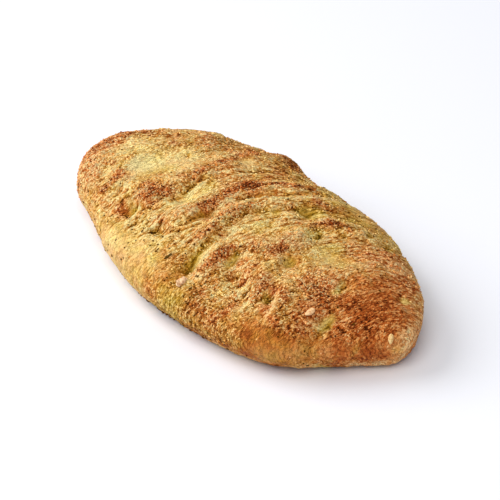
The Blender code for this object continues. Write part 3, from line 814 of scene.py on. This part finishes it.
def makeCrustMaterial():
    look = crustLook
    material, tree, shader = newMaterial("goldenCrust", look["roughness"])
    times, plus, minus = mathNodes(tree)
    coords = addNode(tree, "ShaderNodeTexCoord").outputs["Object"]
    upright = addNode(tree, "ShaderNodeAttribute", attribute_name="alongFolds").outputs["Vector"]
    stretched, grainy, wrinkled = (
        addNode(tree, "ShaderNodeMapping", {"Vector": upright, "Scale": look[name]}).outputs[0]
        for name in ("streaks", "grains", "wrinkles")
    )
    streaks = noiseNode(tree, stretched)
    grains = addNode(tree, "ShaderNodeTexVoronoi", {"Vector": grainy, "Scale": 1.0}).outputs
    fromMiddle = minus(noiseNode(tree, wrinkled), 0.5)
    grooves = mapNode(tree, mathNode(tree, "ABSOLUTE", fromMiddle, 0.0), 0.0, look["grooveWidth"], 1.0, 0.0)
    patches = noiseNode(tree, coords, 1000.0 / look["patchSize"], roughness=0.65)
    grainTone = addNode(tree, "ShaderNodeSeparateColor", {0: grains["Color"]}).outputs[0]
    tone, smooth, granular, tip, roll, hollow, olive, underside = (
        attributeNode(tree, name)
        for name in ("browningAndPaintedLight", "smooth", "granular", "tip", "roll", "hollow", "olive", "underside")
    )
    # a few grains stay pale and a few are burnt; the gaps between granules are darkened as painted shade
    # through the tips below
    grainShift = plus(
        mapNode(tree, grainTone, *look["paleGrains"]), mapNode(tree, grainTone, *look["burntGrains"])
    )
    lowRoll = mathNode(tree, "MINIMUM", roll, look["rollMost"])
    shifts = [times(grainShift, plus(granular, look["leastGrains"]))]
    # painted light and shade: raised tips and rolls paler, sunken ones darker, grooves darker
    shifts += map(times, (tip, lowRoll, minus(patches, 0.5), minus(streaks, 0.5), grooves), look["shifts"])
    coarse = minus(1.0, times(smooth, look["smoothShifts"]))
    for shift in shifts:
        tone = plus(tone, times(shift, coarse))
    # painted shade: pockets and creases made darker
    tone = plus(tone, times(hollow, look["hollowShade"]))
    colour = crustColour(tree, plus(olive, times(hollow, look["hollowOlive"]), True), tone)
    colour = mixNode(tree, underside, colour, (*sRgb(look["underside"]), 1.0))
    tree.links.new(colour, shader.inputs["Base Color"])
    gloss = minus(look["roughness"], times(smooth, look["smoothGloss"]))
    tree.links.new(gloss, shader.inputs["Roughness"])
    grainBump, streakBump, grooveBump = look["bumps"]
    height = plus(times(times(minus(1.0, grains["Distance"]), granular), grainBump), patches)
    height = minus(plus(height, times(streaks, streakBump)), times(grooves, grooveBump))
    tree.links.new(bumpNode(tree, height, look["bumpDepth"]), shader.inputs["Normal"])
    return material


def addPiece(name, mesh, material):
    mesh.materials.clear()
    mesh.materials.append(material)
    piece = bpy.data.objects.new(name, mesh)
    bpy.context.scene.collection.objects.link(piece)
    return piece


crustMaterial = makeCrustMaterial()
loaf = addPiece("crustTop", crustMesh(), crustMaterial)
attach(loaf, "root")
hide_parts("focaccia")
print("crust:", len(loaf.data.polygons), "faces")


# small things strewn over the crust, sunk a little into it
grainNoise = {"Scale": 900.0, "Detail": 1.0}


def scatterTree(name, material):
    tree = bpy.data.node_groups.new(name, "GeometryNodeTree")
    numbers = ("Per square metre", "Length", "Width", "Thickness", "Spread", "Lift", "Tilt", "Unevenness")
    inputs = {"Geometry": "Geometry", **dict.fromkeys(numbers, "Float"), "Where": "String", "Seed": "Int"}
    for label, kind in inputs.items():
        tree.interface.new_socket(label, in_out="INPUT", socket_type="NodeSocket" + kind)
    tree.interface.new_socket("Geometry", in_out="OUTPUT", socket_type="NodeSocketGeometry")
    given = tree.nodes.new("NodeGroupInput").outputs
    times, plus, minus = mathNodes(tree)

    def vectorNode(operation, first, second, label=1):
        inputs = {0: first, label: second}
        return addNode(tree, "ShaderNodeVectorMath", inputs, operation=operation).outputs[0]

    def combined(x, y, z):
        return addNode(tree, "ShaderNodeCombineXYZ", {"X": x, "Y": y, "Z": z}).outputs[0]

    def randomNode(kind, first, low, high):
        inputs = {first: low, first + 1: high, "Seed": given["Seed"]}
        return addNode(tree, "FunctionNodeRandomValue", inputs, data_type=kind).outputs

    def moved(geometry, offset):
        return addNode(tree, "GeometryNodeSetPosition", {"Geometry": geometry, "Offset": offset}).outputs[0]

    where = addNode(tree, "GeometryNodeInputNamedAttribute", {"Name": given["Where"]}, data_type="FLOAT")
    density = times(given["Per square metre"], where.outputs["Attribute"])
    spots = addNode(
        tree, "GeometryNodeDistributePointsOnFaces",
        {"Mesh": given["Geometry"], "Density": density, "Seed": given["Seed"]},
        distribute_method="RANDOM",
    ).outputs
    tone = randomNode("FLOAT", 2, 0.0, 1.0)[1]
    toned = addNode(
        tree, "GeometryNodeStoreNamedAttribute",
        {"Geometry": spots["Points"], "Name": "grainTone", "Value": tone},
        data_type="FLOAT", domain="POINT",
    ).outputs[0]
    turn = randomNode("FLOAT_VECTOR", 0, (-1.0, -1.0, -math.pi), (1.0, 1.0, math.pi))[0]
    tilted = vectorNode("MULTIPLY", turn, combined(given["Tilt"], given["Tilt"], 1.0))
    asRotation = addNode(tree, "FunctionNodeEulerToRotation", {0: tilted}).outputs[0]
    turned = addNode(
        tree, "FunctionNodeRotateRotation",
        {"Rotation": spots["Rotation"], "Rotate By": asRotation}, rotation_space="LOCAL",
    ).outputs[0]
    lifted = moved(toned, vectorNode("SCALE", spots["Normal"], given["Lift"], "Scale"))
    lower, upper = minus(1.0, given["Spread"]), plus(1.0, given["Spread"])
    factor = randomNode("FLOAT", 2, lower, upper)[1]
    size = combined(given["Length"], given["Width"], given["Thickness"])
    strewn = addNode(
        tree, "GeometryNodeInstanceOnPoints",
        {
            "Points": lifted,
            "Instance": addNode(tree, "GeometryNodeMeshCube").outputs[0],
            "Rotation": turned,
            "Scale": vectorNode("SCALE", size, factor, "Scale"),
        },
    ).outputs[0]
    realized = addNode(tree, "GeometryNodeRealizeInstances", {0: strewn}).outputs[0]
    bumpy = addNode(tree, "ShaderNodeTexNoise", grainNoise, noise_dimensions="3D").outputs["Color"]
    centred = vectorNode("SUBTRACT", bumpy, (0.5, 0.5, 0.5))
    uneven = moved(realized, vectorNode("SCALE", centred, given["Unevenness"], "Scale"))
    finished = addNode(tree, "GeometryNodeSetMaterial", {"Geometry": uneven, "Material": material})
    out = tree.nodes.new("NodeGroupOutput")
    tree.links.new(finished.outputs[0], out.inputs[0])
    return tree


def strew(name, settings, material):
    source = addPiece(name, loaf.data.copy(), material)
    modifier = source.modifiers.new(name, "NODES")
    modifier.node_group = scatterTree(name, material)
    for item in modifier.node_group.interface.items_tree:
        if item.item_type == "SOCKET" and item.in_out == "INPUT" and item.name in settings:
            modifier[item.identifier] = settings[item.name]
    evaluated = source.evaluated_get(bpy.context.evaluated_depsgraph_get())
    mesh = bpy.data.meshes.new_from_object(evaluated)
    source.modifiers.clear()
    source.data = mesh
    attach(source, "root")
    print(name + ":", len(mesh.polygons), "faces")
    return source


semolina = {
    "Per square metre": 0.20e6,
    "Length": 1.15 * mm,
    "Width": 0.65 * mm,
    "Thickness": 0.6 * mm,
    "Spread": 0.35,
    "Lift": -0.12 * mm,
    "Tilt": 0.8,
    "Unevenness": 0.5 * mm,
    "Where": "semolina",
}


# how each kind's tone is shifted from the crust's browning and painted light under it, and how far its grains
# differ
semolinaKinds = {"pale": -0.30, "golden": -0.10, "toasted": 0.22}
semolinaSpread = 0.3


def makeSemolinaMaterial(name, shift):
    material, tree, shader = newMaterial(name, 0.55)
    times, plus, minus = mathNodes(tree)
    tone = times(minus(attributeNode(tree, "grainTone"), 0.5), semolinaSpread)
    tone = plus(plus(attributeNode(tree, "browningAndPaintedLight"), shift), tone)
    tree.links.new(crustColour(tree, attributeNode(tree, "olive"), tone), shader.inputs["Base Color"])
    return material


for seed, (kind, shift) in enumerate(semolinaKinds.items(), 4):
    name = kind + "Semolina"
    strew(name, {**semolina, "Seed": seed}, makeSemolinaMaterial(name, shift))


# dark flecks of dried herbs baked into the dough, and burnt crumbs along the foot
herbFlecks = {
    "Per square metre": 0.038e6,
    "Length": 1.1 * mm,
    "Width": 0.75 * mm,
    "Thickness": 0.4 * mm,
    "Spread": 0.5,
    "Lift": 0.02 * mm,
    "Tilt": 0.25,
    "Unevenness": 0.4 * mm,
    "Where": "herbs",
    "Seed": 21,
}
burntCrumbs = {
    **herbFlecks,
    "Per square metre": 0.20e6,
    "Length": 1.3 * mm,
    "Width": 1.0 * mm,
    "Thickness": 0.7 * mm,
    "Tilt": 1.0,
    "Where": "char",
    "Seed": 33,
}


fleckLook = {"roughness": 0.8, "mottleScale": 700.0, "toneSpread": 0.6, "toneShift": -0.3}


def makeFleckMaterial(name, dark, light):
    material, tree, shader = newMaterial(name, fleckLook["roughness"])
    shader.inputs["Specular IOR Level"].default_value = 0.0
    times, plus, minus = mathNodes(tree)
    coords = addNode(tree, "ShaderNodeTexCoord").outputs["Object"]
    mottled = noiseNode(tree, coords, fleckLook["mottleScale"], 2.0, 0.5)
    tone = plus(times(attributeNode(tree, "grainTone"), fleckLook["toneSpread"]), fleckLook["toneShift"])
    colour = rampNode(tree, plus(tone, mottled), [(0.3, dark), (0.8, light)])
    tree.links.new(colour, shader.inputs["Base Color"])
    return material


strew("herbFlecks", herbFlecks, makeFleckMaterial("driedHerb", (44, 24, 4), (98, 62, 14)))
strew("burntCrumbs", burntCrumbs, makeFleckMaterial("burntCrumb", (22, 14, 8), (96, 60, 28)))


# single things lying on the crust: size, place on it, the way they point, how far they stand out
# and how lumpy they are
toppings = {
    "seedNear": ((7.4, 4.2, 2.8), (110.3, -35.5), (0.05, 1.0, 0.15), 0.42, 0.10),
    "seedSunk": ((6.2, 3.4, 2.0), (106.6, -29.6), (0.25, 1.0, 0.1), 0.12, 0.30),
    "seedEnd": ((6.6, 3.6, 2.6), (150.8, -6.0), (-0.3, 0.4, 0.9), 0.40, 0.10),
    "doughNub": ((8.4, 5.6, 4.6), (32.0, -70.8), (-0.35, 0.9, 0.35), 0.25, 1.7),
    "leafBit": ((6.0, 2.4, 0.8), (10.0, -64.0), (0.2, 1.0, 0.5), 0.35, 0.5),
}
# the material of each, its dark and its light tone, and the scale of its mottling
toppingTones = {
    "seedNear": ("peachSeed", (214, 150, 96), (252, 212, 160), 900.0),
    "seedSunk": ("tanSeed", (178, 112, 62), (222, 164, 104), 900.0),
    "seedEnd": ("paleSeed", (208, 153, 90), (243, 209, 146), 900.0),
    "doughNub": ("paleDough", (206, 150, 104), (250, 214, 170), 500.0),
    "leafBit": ("driedLeaf", (50, 32, 4), (104, 76, 18), 800.0),
}
toppingForm = {
    "girth": 0.9,
    "taper": 0.35,
    "ridges": 7.0,
    "ridgeHeight": 0.05,
    "lumpScale": 0.55,
    "lumpShifts": [(3.7, 0, 0), (0, 5.3, 0), (0, 0, 8.9)],
}
toppingLook = {"roughness": 0.45, "bumpDepth": 0.0006}


def addTopping(name, surface, material):
    (length, width, thickness), place, pointing, lift, lumpiness = toppings[name]
    form = toppingForm
    x, y = (np.array(place) - np.array(domeMiddle)) * mm
    spot, normal, _, _ = surface.ray_cast(Vector((x, y, 1.0)), Vector((0.0, 0.0, -1.0)))
    mesh = bmesh.new()
    bmesh.ops.create_uvsphere(mesh, u_segments=28, v_segments=18, radius=0.5)
    way = Vector(pointing)
    lying = (way - normal * way.dot(normal)).normalized()
    turned = Matrix((lying, normal.cross(lying), normal)).transposed()
    for vert in mesh.verts:
        along, across, up = vert.co.z, vert.co.y, vert.co.x
        girth = form["girth"] + form["taper"] * along
        ridge = form["ridgeHeight"] * math.cos(form["ridges"] * math.atan2(across, up))
        ridge = 1.0 + ridge * (1.0 - 4.0 * along * along)
        local = Vector((along * length, across * width * girth * ridge, up * thickness * girth * ridge))
        lumps = [noise.noise(local * form["lumpScale"] + Vector(shift)) for shift in form["lumpShifts"]]
        local += Vector(lumps) * lumpiness
        vert.co = spot + turned @ (local + Vector((0.0, 0.0, thickness * lift))) * mm
    bmesh.ops.recalc_face_normals(mesh, faces=mesh.faces)
    mesh.verts.index_update()
    putInOrder(mesh.faces, cornersOf)
    data = bpy.data.meshes.new(name)
    mesh.to_mesh(data)
    mesh.free()
    data.shade_smooth()
    piece = addPiece(name, data, material)
    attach(piece, "root")


def makeToppingMaterial(name, dark, light, scale):
    material, tree, shader = newMaterial(name, toppingLook["roughness"])
    coords = addNode(tree, "ShaderNodeTexCoord").outputs["Object"]
    mottled = noiseNode(tree, coords, scale)
    tree.links.new(rampNode(tree, mottled, [(0.35, dark), (0.6, light)]), shader.inputs["Base Color"])
    tree.links.new(bumpNode(tree, mottled, toppingLook["bumpDepth"]), shader.inputs["Normal"])
    return material


surface = BVHTree.FromPolygons([v.co for v in loaf.data.vertices], [p.vertices for p in loaf.data.polygons])
for name, tones in toppingTones.items():
    addTopping(name, surface, makeToppingMaterial(*tones))
print("toppings:", len(toppings))


# the photographer's view: the camera looks down on the loaf's near side
view = {
    "azimuth": 48.7,
    "elevation": 36.0,
    "distance": 1500.0,
    "lens": 166.9,
    "sensorWidth": 36.0,
    "target": (0.0, 0.0, 25.0),
    "aimRight": 10.0,
    "aimDown": 13.1,
}


def addCamera():
    azimuth, elevation = math.radians(view["azimuth"]), math.radians(view["elevation"])
    forward = Vector((
        -math.sin(azimuth) * math.cos(elevation),
        math.cos(azimuth) * math.cos(elevation),
        -math.sin(elevation),
    ))
    right = Vector((math.cos(azimuth), math.sin(azimuth), 0.0))
    up = right.cross(forward)
    target = Vector(view["target"]) - Vector((*domeMiddle, 0.0))
    target += right * view["aimRight"] - up * view["aimDown"]
    eye = (target - forward * view["distance"]) * mm
    data = bpy.data.cameras.new("camera")
    data.lens = view["lens"]
    data.sensor_width = view["sensorWidth"]
    camera = bpy.data.objects.new("camera", data)
    turned = Matrix((right, up, -forward)).transposed().to_4x4()
    camera.matrix_world = Matrix.Translation(eye) @ turned
    bpy.context.scene.collection.objects.link(camera)
    bpy.context.scene.camera = camera
    return right, forward


right, forward = addCamera()

studio = {
    "floorSize": 6.0,
    "floorColour": (0.835, 0.845, 0.895),
    "worldTone": 0.45,
}

# lamps: power, size and place to the right of the loaf, behind it and above it
lamps = {
    "key": (46.0, 1.9, (-1.8, 0.45, 1.4)),
    "softbox": (24.0, 1.6, (-0.35, -1.05, 2.0)),
}


def addFloor():
    mesh = bmesh.new()
    bmesh.ops.create_grid(mesh, x_segments=1, y_segments=1, size=studio["floorSize"] / 2.0)
    data = bpy.data.meshes.new("floor")
    mesh.to_mesh(data)
    mesh.free()
    material, tree, shader = newMaterial("paleFloor", 0.6)
    shader.inputs["Base Color"].default_value = (*studio["floorColour"], 1.0)
    floor = addPiece("floor", data, material)


def addWorld():
    world = bpy.data.worlds.new("studio")
    bpy.context.scene.world = world
    world.use_nodes = True
    background = world.node_tree.nodes["Background"].inputs
    background["Color"].default_value = (1.0, 1.0, 1.0, 1.0)
    background["Strength"].default_value = studio["worldTone"]


def addLamp(name, power, size, place):
    away = Vector((forward.x, forward.y, 0.0)).normalized()
    toRight, toBack, height = place
    spot = right * toRight + away * toBack + Vector((0.0, 0.0, height))
    lamp = bpy.data.lights.new(name, "AREA")
    lamp.shape = "DISK"
    lamp.size = size
    lamp.energy = power
    held = bpy.data.objects.new(name, lamp)
    held.matrix_world = Matrix.Translation(spot) @ spot.to_track_quat("Z", "Y").to_matrix().to_4x4()
    bpy.context.scene.collection.objects.link(held)


addFloor()
addWorld()
for name, settings in lamps.items():
    addLamp(name, *settings)
bpy.context.scene.view_settings.view_transform = "Standard"
print("stage ready")
